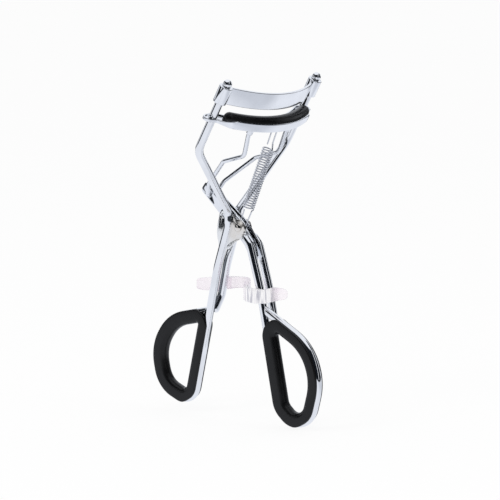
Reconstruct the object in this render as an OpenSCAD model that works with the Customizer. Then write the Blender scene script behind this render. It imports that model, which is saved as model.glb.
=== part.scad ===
// Eyelash curler: wire frame with a fixed upper jaw, sliding lower jaw with a
// rubber pad, squeezing lever with two link wires, return spring, padded
// finger loops and a clear handle clip. Millimetres, +Z up, origin on the
// pivot pin axis midway between its heads, Y along the pivot pin. The head
// leans towards +X, its front. Near is -Y, far is +Y. The frame loop hangs on
// the -X side and the lever loop on the +X side.

/* [Head] */
// Lean of the rods and jaws away from vertical, degrees
head_lean = 29.65; // [26:0.05:33]
// Half distance between the two guide rods
rod_half = 20.2; // [19.6:0.1:21]
// Diameter of the frame wire and guide rods
wire_d = 2.4; // [2.2:0.05:2.5]
// Length of the rolled sleeves and end height of the upper jaw
upper_h = 5.3; // [4.5:0.1:6]
// Sheet thickness of the upper jaw
upper_t = 0.8; // [0.6:0.05:1]

/* [Lower jaw] */
// Height of the front wall of the lower jaw
lower_h = 2.65; // [2.2:0.05:3.2]
// Rise of the pad crown above the floor of the lower jaw
pad_rise = 3.3; // [3:0.05:3.8]
// Diameter of the two link wires
link_d = 1.3; // [1.1:0.05:1.4]

/* [Handles] */
// Distance of each handle wire from the middle plane
strand_y = 2.05; // [2.0:0.01:2.2]
// Width of the soft loop liners
liner_w = 3.6; // [3.4:0.1:4.4]
// Depth of the soft liner inside the loop wire
liner_in = 3.15; // [2.4:0.05:3.3]

/* [Spring] */
// Outside diameter of the return spring
spring_od = 3.6; // [3:0.1:4]
// Spring wire diameter
spring_wire = 0.42; // [0.35:0.01:0.5]
// Number of coils
spring_turns = 25; // [20:1:27]

/* [Clip] */
// Height of the handle clip
clip_h = 4; // [3:0.1:5]

/* [Hidden] */
gap = 0.015;         // clearance of close fits
wire_r = wire_d/2;
wire_fit_r = wire_r-0.004;
link_r = link_d/2;
pin_r = 0.8;
bracket_w = 3.5;
round_fn = 48;       // sides of round primitives
arc_fn = 256;        // sides of the jaw arcs
wire_sides = 14;     // sides of swept handle wires

// Head frame: x towards the front, z along the rods; both jaw arcs share one centre
arc_x = -42.92;
upper_r = 37.5;      // outer radius of the upper jaw
lower_r = 40.8;      // outer radius of the lower jaw
rod_arc_r = 37.4;
rod_angle = asin(rod_half/rod_arc_r);
rod_x = arc_x+rod_arc_r*cos(rod_angle);
dome_z = 43.9;
upper_top_z = 43.1;
lower_z = 31.95;     // underside of the lower jaw
bend_z = 21.1;       // where the rods bend inwards

module chrome() { color([0.80,0.82,0.85]) children(); }
module head() { rotate([0,head_lean,0]) children(); }
// extrude a plan drawn in X,Z evenly about the middle plane
module across(width) {
  rotate([90,0,0]) linear_extrude(height=width,center=true) children();
}

// ---------- points and wire paths ----------
// point given in the head frame
function head_point(x,y,z) =
  [x*cos(head_lean)+z*sin(head_lean), y, -x*sin(head_lean)+z*cos(head_lean)];
// X,Z point placed at y
function at_y(point,y) = [point[0],y,point[1]];
function unit(v) = v/norm(v);
function angle_between(a,b) = acos(max(-1,min(1,(a*b)/(norm(a)*norm(b)))));

// cylinder between two points
module rod(start,end,radius) {
  length = norm(end-start);
  z = (end-start)/length;
  x = unit(cross(abs(z[1]) < 0.9 ? [0,1,0] : [1,0,0], z));
  y = cross(z,x);
  multmatrix([[x[0],y[0],z[0],start[0]],
              [x[1],y[1],z[1],start[1]],
              [x[2],y[2],z[2],start[2]],
              [0,0,0,1]])
    cylinder(h=length, r=radius, $fn=round_fn);
}

// arc that rounds the corner at b on the way from a to c; step is in degrees
function corner(a,b,c,radius,step) =
  let(dir_in=unit(b-a), dir_out=unit(c-b), turn=angle_between(dir_in,dir_out),
      centre=b+unit(dir_out-dir_in)*radius/cos(turn/2),
      spoke=b-dir_in*radius*tan(turn/2)-centre, ahead=dir_in*norm(spoke),
      count=max(1,ceil(turn/step)))
  [for(k=[0:count]) centre + spoke*cos(turn*k/count) + ahead*sin(turn*k/count)];
// open path and closed loop with one corner radius per vertex (path ends unused)
function path_points(points,radii,step=8) = let(last=len(points)-1)
  concat([points[0]],
    [for(i=[1:last-1]) each corner(points[i-1],points[i],points[i+1],radii[i],step)],
    [points[last]]);
function loop_points(points,radii,step=8) = let(n=len(points))
  [for(i=[0:n-1])
    each corner(points[(i+n-1)%n],points[i],points[(i+1)%n],radii[i],step)];

function tangents(path) = let(last=len(path)-1)
  [for(i=[0:last]) unit(i==0 ? path[1]-path[0]
    : i==last ? path[last]-path[last-1]
    : unit(path[i+1]-path[i])+unit(path[i]-path[i-1]))];
// vectors square to each tangent, carried along without twist
function normals(along) =
  [for(i=0, v=unit(cross(along[0],[0,1,0.01])); i<len(along);
    v = i+1<len(along) ? unit(v-(v*along[i+1])*along[i+1]) : v, i=i+1) v];
// round wire swept along a path; mitre = [normal, distance] of the plane that
// the last end is stretched to
module tube(path,radius,sides,mitre=[]) {
  last = len(path)-1;
  along = tangents(path);
  normal = normals(along);
  points = [for(i=[0:last]) let(other=cross(along[i],normal[i])) for(j=[0:sides-1])
    let(a=360*(j+0.5)/sides, p=path[i]+radius*(cos(a)*normal[i]+sin(a)*other))
    i==last && len(mitre)>0 ? p+along[i]*(mitre[1]-p*mitre[0])/(along[i]*mitre[0]) : p];
  faces = concat(
    [[for(j=[0:sides-1]) j]],
    [[for(j=[0:sides-1]) last*sides+sides-1-j]],
    [for(i=[0:last-1]) for(j=[0:sides-1]) let(k=(j+1)%sides)
      [(i+1)*sides+j, (i+1)*sides+k, i*sides+k, i*sides+j]]);
  polyhedron(points,faces,convexity=20);
}
// plane just off the surface of the handle wire from start to end
function off_plane(start,end) =
  let(normal=unit(cross(unit(end-start),[0,1,0])), n=start[0]<0 ? -normal : normal)
  [n, start*n+wire_r+0.02];

// ---------- handle key points, X,Z ----------
leg_end = [-3.35,4.46];
frame_knee_top = [-3.3,0.9];
frame_knee = [-7.5,-11.9];
// finger loop corners; the first one continues the handle, the last closes the loop
frame_loop = [[-17.24,-54.78],[-29.2,-50.06],[-31.75,-38.47],[-25.45,-28.84],[-10.45,-25.5]];
frame_loop_radii = [4.62,9.28,12.6,13.6];
frame_far_end = [-10.5,0.4,-25.3];

lever_top = [3.1,-2.85];
lever_knee_top = [5.0,-4.9];
lever_knee = [8.7,-17.0];
lever_loop = [[16.34,-51.75],[26.37,-60.2],[31.08,-42.95],[27.48,-32.15],[10.4,-23.2]];
lever_loop_radii = [5.9,6.17,15.4,15.8];
lever_far_end = [10.5,strand_y,-25.6];

// ---------- frame ----------
frame_radii = [0,6,3,8,28];
function frame_handle(side) = let(y=side*strand_y)
  [head_point(rod_x,side*rod_half,bend_z+5), head_point(rod_x,side*rod_half,bend_z),
   at_y(leg_end,y), at_y(frame_knee_top,y), at_y(frame_knee,y)];
module frame_path_near() {
  y = -strand_y;
  points = concat(frame_handle(-1), [for(p=frame_loop) at_y(p,y)]);
  tube(path_points(points, concat(frame_radii,frame_loop_radii,[0])), wire_fit_r, wire_sides,
       off_plane(at_y(frame_knee,y),at_y(frame_loop[0],y)));
}
module frame_path_far() {
  points = concat(frame_handle(1), [[-9.55,strand_y,-21.2], frame_far_end]);
  tube(path_points(points, concat(frame_radii,[5,0])), wire_fit_r, wire_sides);
  translate(frame_far_end) sphere(r=wire_r,$fn=round_fn);
}
module guide_rod(side) {
  top = head_point(rod_x,side*rod_half,dome_z);
  rod(head_point(rod_x,side*rod_half,bend_z+4.2),top,wire_r);
  translate(top) sphere(r=wire_r+0.12,$fn=round_fn);
}
// flats on the wires along the bracket walls
module bracket_flat() {
  flat_w = bracket_w+0.02;
  translate([-9,-flat_w/2,-7.4]) cube([13,flat_w,16]);
}
module frame_wire_near() chrome() {
  guide_rod(-1);
  difference() {
    frame_path_near();
    bracket_flat();
  }
}
module frame_wire_far() chrome() {
  guide_rod(1);
  difference() {
    frame_path_far();
    bracket_flat();
  }
}

// curved plate with its ends rolled into sleeves on the rods
plate_trim = 2.4;    // degrees the plate stops short of each rod
module upper_jaw() chrome() head() difference() {
  half = rod_angle-plate_trim;
  union() {
    translate([arc_x,0,upper_top_z-upper_h-0.15]) rotate([0,0,-half])
      rotate_extrude(angle=2*half,$fn=arc_fn)
        translate([upper_r-upper_t,0]) square([upper_t,upper_h+0.1]);
    for(side=[-1,1]) translate([rod_x,side*rod_half,upper_top_z-upper_h])
      cylinder(h=upper_h,r=wire_r+upper_t+0.03,$fn=round_fn);
  }
  for(side=[-1,1]) translate([rod_x,side*rod_half,upper_top_z-upper_h-1]) {
    cylinder(h=upper_h+2,r=wire_r+gap,$fn=round_fn);
    // seam of the rolled sleeve
    rotate([0,0,side*58]) translate([wire_r-0.3,-0.11,0]) cube([1.6,0.22,upper_h+2]);
  }
}

// ---------- pivot ----------
function arc(centre,radius,start,end,steps) =
  [for(k=[0:steps]) let(a=start+(end-start)*k/steps)
    [centre[0]+radius*cos(a), centre[1]+radius*sin(a)]];
// X,Z side outline: upper back edge, round the pin, lower lobe, back edge
bracket_outline = concat(
  [[-7.2,3.6],[-6.4,4.9],[-5.2,5.3],[-3.6,4.7],[-2.0,3.3]],
  arc([0,0],2.45,115,-50,20),
  arc([-0.4,-1.3],2.1,-22,-100,10),
  [[-3.4,-4.7],[-5.8,-7.0],[-7.0,-7.2],[-7.5,-6.6],[-7.6,-5],[-8.0,-3.6],[-8.2,-1.9],
   [-8.0,0],[-7.6,1.8]]);
// X,Z outline of the room between the walls, open above the saddle band
bracket_room = [[6,12],[6,-12],[-6.8,-12],[-6.8,-6.6],[-7.05,-4.8],[-7.45,-3.4],[-7.65,-1.9],
  [-7.5,-0.2],[-7.3,0.35],[-9.5,0.35],[-9.5,12]];
// saddle bracket joining both wires and carrying the pivot pin
module pivot_bracket() chrome() difference() {
  across(bracket_w) polygon(bracket_outline);
  across(2.4) polygon(bracket_room);
  // window in the side walls
  translate([-5.9,0,3.1]) rotate([90,0,0]) cylinder(h=6,r=0.75,center=true,$fn=round_fn);
  rotate([90,0,0]) cylinder(h=6,r=pin_r+gap,center=true,$fn=round_fn);
}
module rivet_head() intersection() {
  translate([0,0,-0.93]) sphere(r=1.6,$fn=64);
  cylinder(h=1,r=1.25,$fn=round_fn);
}
module pivot_pin() chrome() {
  rotate([90,0,0]) cylinder(h=bracket_w+0.04,r=pin_r,center=true,$fn=round_fn);
  for(side=[-1,1])
    translate([0,side*(bracket_w/2+0.015),0]) rotate([-side*90,0,0]) rivet_head();
}

// ---------- loop liners ----------
// outward reach of the flanks: higher where the loop faces -X, lower where it faces +X
high_reach = 1.12;
low_reach = 0.6;
function flank_reach(facing) = facing < -0.1 ? high_reach
  : facing > 0.5 ? low_reach
  : high_reach-(facing+0.1)/0.6*(high_reach-low_reach);
// liner section [outward, y]: grooved outside for the loop wire, rounded inside
function liner_section(reach) =
  let(half=liner_w/2, round_r=1.55, groove_r=wire_r+0.09, tilt=asin(reach/groove_r))
  concat(
    [for(a=[180:30:270]) [-liner_in+round_r+round_r*cos(a), -half+round_r+round_r*sin(a)]],
    [[reach-0.35,-half],[reach,-half+0.2]],
    [for(k=[0:10]) let(a=(90-tilt)+k*(180+2*tilt)/10) [groove_r*cos(a), -groove_r*sin(a)]],
    [[reach,half-0.2],[reach-0.35,half]],
    [for(a=[90:30:180]) [-liner_in+round_r+round_r*cos(a), half-round_r+round_r*sin(a)]]);
// liner section swept round a closed loop in an XZ plane
module liner_sweep(path) {
  n = len(path);
  m = len(liner_section(1));
  points = [for(i=[0:n-1])
    let(ahead=path[(i+1)%n]-path[i], behind=path[i]-path[(i+n-1)%n],
        outward=cross(unit(unit(ahead)+unit(behind)),[0,1,0]),
        stretch=1/cos(angle_between(ahead,behind)/2))
    for(q=liner_section(flank_reach(outward[0])))
      path[i]+outward*q[0]*stretch+[0,q[1],0]];
  faces = [for(i=[0:n-1]) for(j=[0:m-1]) let(next=(i+1)%n, k=(j+1)%m)
    [i*m+j, i*m+k, next*m+k, next*m+j]];
  polyhedron(points,faces,convexity=10);
}
// order lists the corners in sweep direction, radii has one entry per corner;
// the handle wire and the closing end of the loop wire are cut out of the liner
module loop_liner(corners,radii,order,knee,handle_stop,closing_cut) {
  loop = [for(p=corners) at_y(p,-strand_y)];
  handle_start = at_y(knee,-strand_y);
  difference() {
    liner_sweep(loop_points([for(i=order) loop[i]], [for(i=order) radii[i]]));
    rod(handle_start, loop[0]-unit(loop[0]-handle_start)*handle_stop, wire_r+0.11);
    closing = unit(loop[3]-loop[4]);
    rod(loop[4]+closing*0.5, loop[4]+closing*closing_cut, wire_r+0.13);
  }
}
module frame_loop_liner() color([0.05,0.05,0.05])
  loop_liner(frame_loop, concat(frame_loop_radii,[3.4]), order=[4,0,1,2,3],
             knee=frame_knee, handle_stop=22, closing_cut=6.3);
module lever_loop_liner() color([0.05,0.05,0.05])
  loop_liner(lever_loop, concat(lever_loop_radii,[4.0]), order=[4,3,2,1,0],
             knee=lever_knee, handle_stop=5.5, closing_cut=9.3);

// ---------- lever ----------
hook = [-11.6,9.1];          // X,Z of the link hooks
slot_ends = [-0.3,0.6];      // slot end centres along the arm, from the hook
slot_r = link_r+0.13;
plate_y = 0.875;             // middle of each link plate
plate_t = 0.55;
// X,Z outlines of a plate and of the web along its lower edge at the tip
plate_outline = [[-13.0,12.7],[-14.4,10.9],[-14.5,9.85],[-7.93,3.95],[-1.85,-1.55],[1.9,-4.9],
  [4.3,-8.8],[6.3,-9.2],[7.1,-8.0],[6.2,-4.4],[4.4,-2.0],[2.4,0.8],[0.3,2.75]];
web_outline = [[-14.5,9.85],[-8.6,4.55],[-8.25,4.95],[-14.15,10.25]];
module link_plate_plan() difference() {
  polygon(plate_outline);
  circle(r=pin_r+0.04,$fn=round_fn);
  // elongated slot for the link hooks
  rotate(atan2(hook[1],hook[0])) {
    for(t=slot_ends) translate([norm(hook)+t,0]) circle(r=slot_r,$fn=round_fn);
    translate([norm(hook)+slot_ends[0],-slot_r]) square([slot_ends[1]-slot_ends[0],2*slot_r]);
  }
}
module lever_link_plate() chrome() {
  for(side=[-1,1]) translate([0,side*plate_y,0]) across(plate_t) link_plate_plan();
  across(1.3) polygon(web_outline);
}
lever_radii = [0,5,40];
function lever_handle(y) = [at_y(lever_top,y), at_y(lever_knee_top,y), at_y(lever_knee,y)];
// flats on the wires along the link plates
module lever_flat() {
  half = plate_y+plate_t/2+0.01;
  translate([-2,-half,-9.6]) cube([12,2*half,12]);
}
module lever_wire_near() chrome() difference() {
  y = -strand_y;
  tube(path_points(concat(lever_handle(y),[for(p=lever_loop) at_y(p,y)]),
                   concat(lever_radii,lever_loop_radii,[0])),
       wire_r, wire_sides, off_plane(at_y(lever_knee,y),at_y(lever_loop[0],y)));
  lever_flat();
}
module lever_wire_far() chrome() difference() {
  union() {
    tube(path_points(concat(lever_handle(strand_y),[lever_far_end]), concat(lever_radii,[0])),
         wire_fit_r, wire_sides);
    translate(lever_far_end) sphere(r=wire_r+0.01,$fn=round_fn);
  }
  lever_flat();
}

// ---------- lower jaw ----------
floor_t = 0.6;
wall_t = 0.55;
channel_w = 5.7;
turn_angle = 24;     // where the front wall starts to turn in
turn_r = 9;          // radius of the turned-in front corner
ear_r = 1.9;         // radius of the ear round the guide rod
back_h = 1.3;        // height of the back wall
neck_y = 17.6;       // where the channel narrows to the ear
middle_r = lower_r-channel_w/2;
inner_r = lower_r-channel_w;
link_y = 8.5;
link_x = arc_x+sqrt(middle_r*middle_r-link_y*link_y)+0.35;
bail_x = -3.8;
bail_half = 0.85;    // half width of the spring bail

module wedge(angle) {
  polygon([[0,0],[60*cos(angle),-60*sin(angle)],[60,0],[60*cos(angle),60*sin(angle)]]);
}
// plan of the curved channel between the necks, jaw arc centre at the origin
module band_plan(inset=0) difference() {
  intersection() {
    circle(r=lower_r-inset,$fn=arc_fn);
    union() {
      wedge(turn_angle);
      for(side=[-1,1]) rotate(side*turn_angle)
        translate([lower_r-turn_r,0]) circle(r=turn_r-inset,$fn=96);
    }
  }
  circle(r=inner_r+inset,$fn=arc_fn);
  for(side=[-1,1])
    translate([rod_x-arc_x-20,side*neck_y-(side<0?10:0)]) square([40,10]);
}
// neck and ear on one side, as one closed outline
module ear_plan(side,inset=0) {
  ear_x = rod_x-arc_x;
  overlap_y = neck_y-1.2;
  tip_y = rod_half+2.0;
  tip_r = ear_r-0.35-inset;
  turn_x = (lower_r-turn_r)*cos(turn_angle);
  turn_y = (lower_r-turn_r)*sin(turn_angle);
  function front_x(y) = turn_x+sqrt(pow(turn_r-inset,2)-pow(y-turn_y,2));
  function back_x(y) = sqrt(pow(inner_r+inset,2)-y*y);
  outline = concat(
    [[back_x(overlap_y)+0.05,overlap_y],
     [back_x(neck_y)+0.15*inset,neck_y],
     [ear_x-ear_r+inset,rod_half+0.1]],
    [for(a=[180:-15:0]) [ear_x-0.1+tip_r*cos(a), tip_y+tip_r*sin(a)]],
    [[ear_x+ear_r-inset,rod_half],
     [front_x(neck_y)-0.25*inset,neck_y],
     [front_x(overlap_y)-0.05,overlap_y]]);
  polygon([for(p=outline) [p[0],side*p[1]]]);
}
// Y,Z outline above the walls, which run down to a low rim at the ears
rim_cut = [[16.0,lower_h+0.02],[17.6,lower_h-0.45],[19.4,1.15],[20,1.05],[26,1.05],[26,6],
  [16.0,6]];
module lower_jaw() chrome() head() difference() {
  translate([arc_x,0,lower_z]) difference() {
    union() {
      linear_extrude(height=lower_h) band_plan();
      for(side=[-1,1]) linear_extrude(height=lower_h-0.5) ear_plan(side);
    }
    translate([0,0,floor_t]) linear_extrude(height=lower_h) band_plan(wall_t);
    for(side=[-1,1])
      translate([0,0,floor_t]) linear_extrude(height=lower_h) ear_plan(side,wall_t);
  }
  for(side=[-1,1]) translate([arc_x+20,0,lower_z]) rotate([90,0,90])
    linear_extrude(height=25) polygon([for(p=rim_cut) [side*p[0],p[1]]]);
  // the back wall is lower than the front one
  translate([arc_x,0,lower_z+back_h]) cylinder(h=4,r=middle_r-1,$fn=arc_fn);
  // holes for the guide rods, link wires and spring bail
  for(side=[-1,1]) {
    translate([rod_x,side*rod_half,lower_z-1]) cylinder(h=6,r=wire_r+0.08,$fn=round_fn);
    translate([link_x,side*link_y,lower_z-1]) cylinder(h=3,r=link_r+gap,$fn=round_fn);
    translate([bail_x+side*bail_half,0,lower_z-1]) cylinder(h=3,r=0.42,$fn=24);
  }
}

// rubber pad: domed section with chamfered ends
pad_half = 1.85;     // half width, also the crown radius
pad_r = middle_r+0.4;
pad_angle = 28.9;
// plan of the cut across each end of the pad
pad_end_cut = [[36.6,16.4],[35.85,17.55],[32.65,20.2],[45,20.2],[45,16.4]];
module pad_section() {
  polygon(concat([[-pad_half,0],[pad_half,0]],
    [for(a=[0:15:180]) [pad_half*cos(a), pad_rise-pad_half+pad_half*sin(a)]]));
}
module jaw_pad() color([0.03,0.03,0.03]) head()
  translate([arc_x,0,lower_z+floor_t+0.03]) difference() {
    rotate([0,0,-pad_angle]) rotate_extrude(angle=2*pad_angle,$fn=arc_fn)
      translate([pad_r,0]) pad_section();
    // outer end corners follow the turned-in wall of the channel
    for(side=[-1,1]) rotate([0,0,side*turn_angle])
      translate([lower_r-turn_r,0,-1]) difference() {
        translate([0,side>0?0:-14,0]) cube([14,14,8]);
        translate([0,0,-1]) cylinder(h=10,r=turn_r-wall_t-0.06,$fn=96);
      }
    for(side=[-1,1]) translate([0,0,-1]) linear_extrude(height=8)
      polygon([for(p=pad_end_cut) [p[0],side*p[1]]]);
    // chamfered end corners and crown
    for(side=[-1,1]) rotate([0,0,side*pad_angle]) {
      for(edge=[-1,1]) translate([pad_r+edge*pad_half,0,-1]) rotate([0,0,45])
        translate([-0.85,-0.85,0]) cube([1.7,1.7,8]);
      translate([pad_r-4,0,pad_rise]) rotate([45,0,0])
        translate([0,-0.9,-0.9]) cube([8,1.8,1.8]);
    }
    // pocket above the spring bail
    translate([bail_x-arc_x-1.6,-0.5,-1]) cube([3.2,1,2.0]);
  }

// ---------- link wires ----------
function link_path(side) = [
  head_point(link_x,side*link_y,lower_z+floor_t-0.03),
  head_point(link_x,side*link_y,lower_z-2.5),
  head_point(-4.35,side*7.9,23.0),
  [-0.8,side*7.2,20.0],
  [-9.7,side*3.4,12.7],
  at_y(hook,side*1.97),
  at_y(hook,side*0.35)];
link_radii = [0,3,2.2,2.2,3,0.85,0];
module link_wire(side) { tube(path_points(link_path(side),link_radii,10),link_r,12); }
module link_wire_near() chrome() link_wire(-1);
module link_wire_far() chrome() link_wire(1);
module link_collars() chrome() head() for(side=[-1,1])
  translate([link_x,side*link_y,lower_z-2.22]) difference() {
    cylinder(h=2.2,r=1.15,$fn=round_fn);
    translate([0,0,-1]) cylinder(h=5,r=link_r+0.08,$fn=round_fn);
  }

// ---------- spring ----------
bail_top = head_point(bail_x,0,lower_z+floor_t+0.25);
spring_len = norm(bail_top);
spring_lean = atan2(bail_top[0],bail_top[2]);
spring_wire_r = spring_wire/2;
coil_r = spring_od/2-spring_wire_r;  // mean coil radius
coil_start = 6.3;
coil_end = 26.0;
hook_r = pin_r+spring_wire_r+0.06;   // lower hook round the pin
coil_steps = 12;                     // points per coil
bail_foot = coil_end+2.2;
bail_z = spring_len-bail_half;       // centre of the bail bend
// one wire along z: hook round the pin, coils, bail through the jaw floor
function spring_path() = concat(
  [for(t=[0:0.25:1]) [-coil_r*0.72*(1-t)-hook_r*t, 0, 5.2*(1-t)+0.15*t]],
  [for(a=[15:15:165]) [-hook_r*cos(a), 0, -hook_r*sin(a)]],
  [for(t=[0:0.2:1]) [hook_r*(1-t)+coil_r*0.96*t, 0, 0.15*(1-t)+(coil_start-0.7)*t]],
  [for(i=[0:spring_turns*coil_steps]) let(a=i*360/coil_steps)
    [coil_r*cos(a), coil_r*sin(a),
     coil_start+(coil_end-coil_start)*i/(spring_turns*coil_steps)]],
  [for(t=[0:0.25:1])
    [coil_r*(1-t)*0.7+bail_half*t+0.15*(1-t), 0, (coil_end+0.75)*(1-t)+bail_foot*t]],
  [for(t=[0.34,0.67,1]) [bail_half, 0, bail_foot*(1-t)+bail_z*t]],
  [for(a=[15:15:165]) [bail_half*cos(a), 0, bail_z+bail_half*sin(a)]],
  [for(t=[0:0.25:1]) [-bail_half, 0, bail_z*(1-t)+(coil_end+1.1)*t]]);
module return_spring() color([0.7,0.72,0.75])
  rotate([0,spring_lean,0]) tube(spring_path(),spring_wire_r,5);

// ---------- handle clip ----------
clip_z = -17.9;
clip_t = 1.4;
clip_top = clip_z+clip_h/2;
clip_base = clip_z-clip_h/2;
// X,Y centre lines: the long strip and its two short ribs
clip_lines = [
  [[-19.0,2.6],[-16.5,4.1],[-12.5,4.35],[-6.2,4.35],[-2.2,4.1],[0.6,2.4],[3.7,-2.5],[5.0,-4.1],
   [7.4,-4.75],[13,-4.75],[17.0,-4.7],[19.7,-3.8]],
  [[-11.5,4.3],[-11.5,1.0]],
  [[-6.35,4.3],[-6.35,1.6]]];
// X,Z side outline, upper edge towards +X, then lower edge back
clip_outline = [
  [-19.9,clip_z+0.1],[-19.2,clip_z+0.7],[-17,clip_z+1.05],[-12,clip_top-0.4],
  [-8,clip_top+0.1],[-1,clip_top+0.6],[2.4,clip_top+0.2],[5,clip_top-0.8],
  [8,clip_top-1.0],[13,clip_top-0.9],[16,clip_top+0.1],[18.6,clip_z+2.0],
  [19.9,clip_z+1.5],[20.3,clip_z+0.9],
  [20.3,clip_z-0.5],[19.8,clip_z-1.1],[17.2,clip_z-1.8],[13,clip_base-1.0],
  [9,clip_base-1.3],[6,clip_base-1.1],[4,clip_base-0.6],[1,clip_base+0.9],
  [-3,clip_base+1.2],[-8,clip_base+0.6],[-12,clip_base-0.6],[-17.5,clip_z-2.8],
  [-19.4,clip_z-2.4],[-19.9,clip_z-1.7]];
module strip(points,width) {
  for(p=points) translate(p) circle(r=width/2,$fn=32);
  for(i=[0:len(points)-2]) let(span=points[i+1]-points[i])
    translate(points[i]) rotate(atan2(span[1],span[0]))
      translate([0,-width/2]) square([norm(span),width]);
}
module handle_clip() color([0.93,0.82,0.88]) intersection() {
  translate([0,0,clip_z-5]) linear_extrude(height=10)
    for(line=clip_lines) strip(line,clip_t);
  across(16) polygon(clip_outline);
}

frame_wire_near();
frame_wire_far();
upper_jaw();
pivot_bracket();
pivot_pin();
frame_loop_liner();
lever_link_plate();
lever_wire_near();
lever_wire_far();
lever_loop_liner();
lower_jaw();
jaw_pad();
link_wire_near();
link_wire_far();
link_collars();
return_spring();
handle_clip();
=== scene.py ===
"""Eyelash curler: two wire handles with lined finger loops, a fixed upper jaw, a padded sliding
lower jaw, a return spring and a clear clip across the handles.

Lengths are millimetres, turned into metres as each mesh is made; shaders, lights and camera are
in metres. The pivot pin lies along Y through the origin. The handles hang towards -Z, the frame
handle at -X and the lever handle at +X. "Near" is the -Y side and "far" the +Y side. The head
leans from +Z towards +X and has its own axes: out (towards +X and down), y, and height along
the guide rods.
"""

import math

import bmesh
import bpy
import numpy as np
from mathutils import Matrix, Vector


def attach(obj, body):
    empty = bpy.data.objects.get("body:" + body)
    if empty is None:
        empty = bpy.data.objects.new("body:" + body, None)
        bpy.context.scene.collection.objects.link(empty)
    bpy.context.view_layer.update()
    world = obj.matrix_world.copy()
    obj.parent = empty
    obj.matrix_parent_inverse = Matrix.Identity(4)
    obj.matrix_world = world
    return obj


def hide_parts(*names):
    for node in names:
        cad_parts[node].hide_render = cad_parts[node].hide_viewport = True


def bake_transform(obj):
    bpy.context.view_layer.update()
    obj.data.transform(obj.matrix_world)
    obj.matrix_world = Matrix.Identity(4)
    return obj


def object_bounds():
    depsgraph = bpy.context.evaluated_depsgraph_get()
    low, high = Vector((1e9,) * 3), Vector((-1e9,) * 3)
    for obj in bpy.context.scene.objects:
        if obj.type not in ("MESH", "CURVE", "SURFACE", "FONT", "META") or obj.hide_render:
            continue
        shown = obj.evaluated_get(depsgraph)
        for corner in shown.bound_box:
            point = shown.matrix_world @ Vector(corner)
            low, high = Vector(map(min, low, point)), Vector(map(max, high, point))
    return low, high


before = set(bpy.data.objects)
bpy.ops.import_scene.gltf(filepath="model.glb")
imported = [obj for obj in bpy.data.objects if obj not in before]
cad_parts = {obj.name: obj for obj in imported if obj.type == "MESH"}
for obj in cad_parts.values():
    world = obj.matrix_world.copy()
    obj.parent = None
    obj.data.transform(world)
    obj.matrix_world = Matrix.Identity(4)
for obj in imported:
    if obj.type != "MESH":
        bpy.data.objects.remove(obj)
cad_lo, cad_hi = [list(map(float, corner_)) for corner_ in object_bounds()]

MM = 0.001
SIDES = (("near", -1), ("far", 1))

# ------------------------------------------------------------------
# shared dimensions
# ------------------------------------------------------------------
LEAN = math.radians(29.65)
WIRE_R = 1.2
WIRE_Y = 2.05                # handle wires, either side of the middle plane
LINK_R = 0.65
RIVET_R = 0.8

# head: the jaws are arcs about one centre
ARC_OUT = -42.92
UPPER_R = 37.5
LOWER_R = 40.8
ROD_Y = 20.2
ROD_ARC_R = 37.4
ROD_ANGLE = math.asin(ROD_Y / ROD_ARC_R)
ROD_OUT = ARC_OUT + ROD_ARC_R * math.cos(ROD_ANGLE)
ROD_TOP, ROD_BEND = 43.9, 21.1             # heights
UPPER_TOP, UPPER_DEPTH, UPPER_THICK = 43.1, 5.3, 0.8
LOWER_BASE = 31.95                         # height of the channel's underside

# lower jaw channel and its ears
OUTER_RIM, INNER_RIM = 2.65, 1.3
FLOOR_THICK, WALL_THICK = 0.6, 0.55
CHANNEL_WIDTH = 5.7
CHANNEL_MID_R = LOWER_R - CHANNEL_WIDTH / 2
CHANNEL_IN_R = LOWER_R - CHANNEL_WIDTH
EAR_START, EAR_ARC_R, EAR_R, NECK_Y = 24, 9.0, 1.9, 17.6   # EAR_START in degrees
PAD_HALF, PAD_R, PAD_RISE = 1.85, CHANNEL_MID_R + 0.4, 3.3
PAD_BASE = LOWER_BASE + FLOOR_THICK + 0.03
PAD_ANGLE = math.radians(28.6)

LINK_Y = 8.5
LINK_OUT = ARC_OUT + math.sqrt(CHANNEL_MID_R ** 2 - LINK_Y ** 2) + 0.35
HOOK = (-11.6, 9.1)          # (x, z) of the link wires' lower ends
SPRING_OUT = -3.8            # where the spring is held in the lower jaw
BAIL_R = 0.85                # bend at the top of the spring

# handle wires, as (x, z) corners; the radii round the loop corners except the last
LEG_END = (-3.35, 4.46)
FRAME_KNEES = [(-3.3, 0.9), (-7.5, -11.9)]
FRAME_LOOP = [(-17.24, -54.78), (-29.2, -50.06), (-31.75, -38.47), (-25.45, -28.84),
              (-10.45, -25.5)]
FRAME_LOOP_RADII = [4.62, 9.28, 12.6, 13.6]
LEVER_TOP = (3.1, -2.85)
LEVER_KNEES = [(5.0, -4.9), (8.7, -17.0)]
LEVER_LOOP = [(16.34, -51.75), (26.37, -60.2), (31.08, -42.95), (27.48, -32.15), (10.4, -23.2)]
LEVER_LOOP_RADII = [5.9, 6.17, 15.4, 15.8]


# ------------------------------------------------------------------
# points and paths
# ------------------------------------------------------------------
def head_point(out, y, height):
    """Head axes to x, y, z."""
    cos, sin = math.cos(LEAN), math.sin(LEAN)
    return np.array([out * cos + height * sin, y, -out * sin + height * cos], float)


def side_point(point, y):
    """An (x, z) point placed at a given y."""
    return np.array([point[0], y, point[1]], float)


def unit(vector):
    vector = np.asarray(vector, float)
    return vector / np.linalg.norm(vector)


def angle(first, second):
    return math.acos(max(-1.0, min(1.0, float(np.dot(unit(first), unit(second))))))


def mean_direction(before, point, after):
    return unit(unit(after - point) + unit(point - before))


def lerp(start, end, t):
    return start + (end - start) * t


def smoothstep(value):
    value = min(1.0, max(0.0, value))
    return value * value * (3 - 2 * value)


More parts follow.
